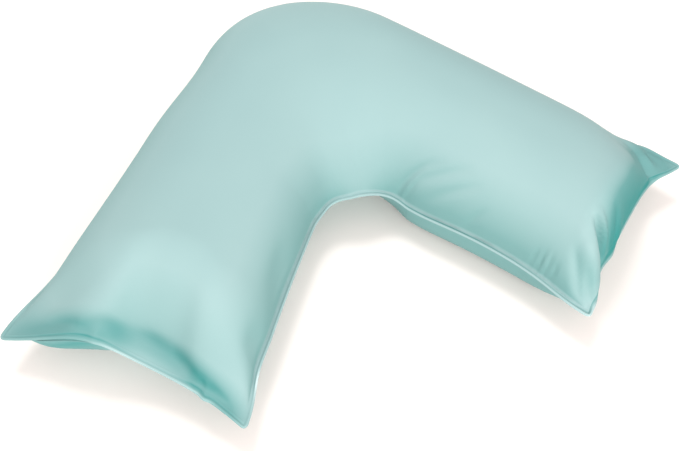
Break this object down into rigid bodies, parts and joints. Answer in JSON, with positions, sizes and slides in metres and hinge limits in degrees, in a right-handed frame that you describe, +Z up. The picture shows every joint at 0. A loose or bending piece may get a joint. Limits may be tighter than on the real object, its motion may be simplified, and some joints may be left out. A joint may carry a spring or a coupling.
{
  "type": "v shaped pillow",
  "caption": "Soft filled V shaped pillow in a plain aqua cotton cover, with a rounded bend, pointed corners and a sewn edge all round.",
  "frame": {"origin": "on the floor under the middle of the pillow's bounding box, the pillow lying on its back", "axes": "+Z up out of the crown, +Y towards the outer corner of the V, +X across both arms towards the right one"},
  "size_m": [1.0068, 0.6722, 0.1655],
  "materials": {
    "cover": "smooth plain cotton with a faint satin sheen"
  },
  "bodies": {
    "root": {"pillow": "cover"}
  },
  "joints": []
}
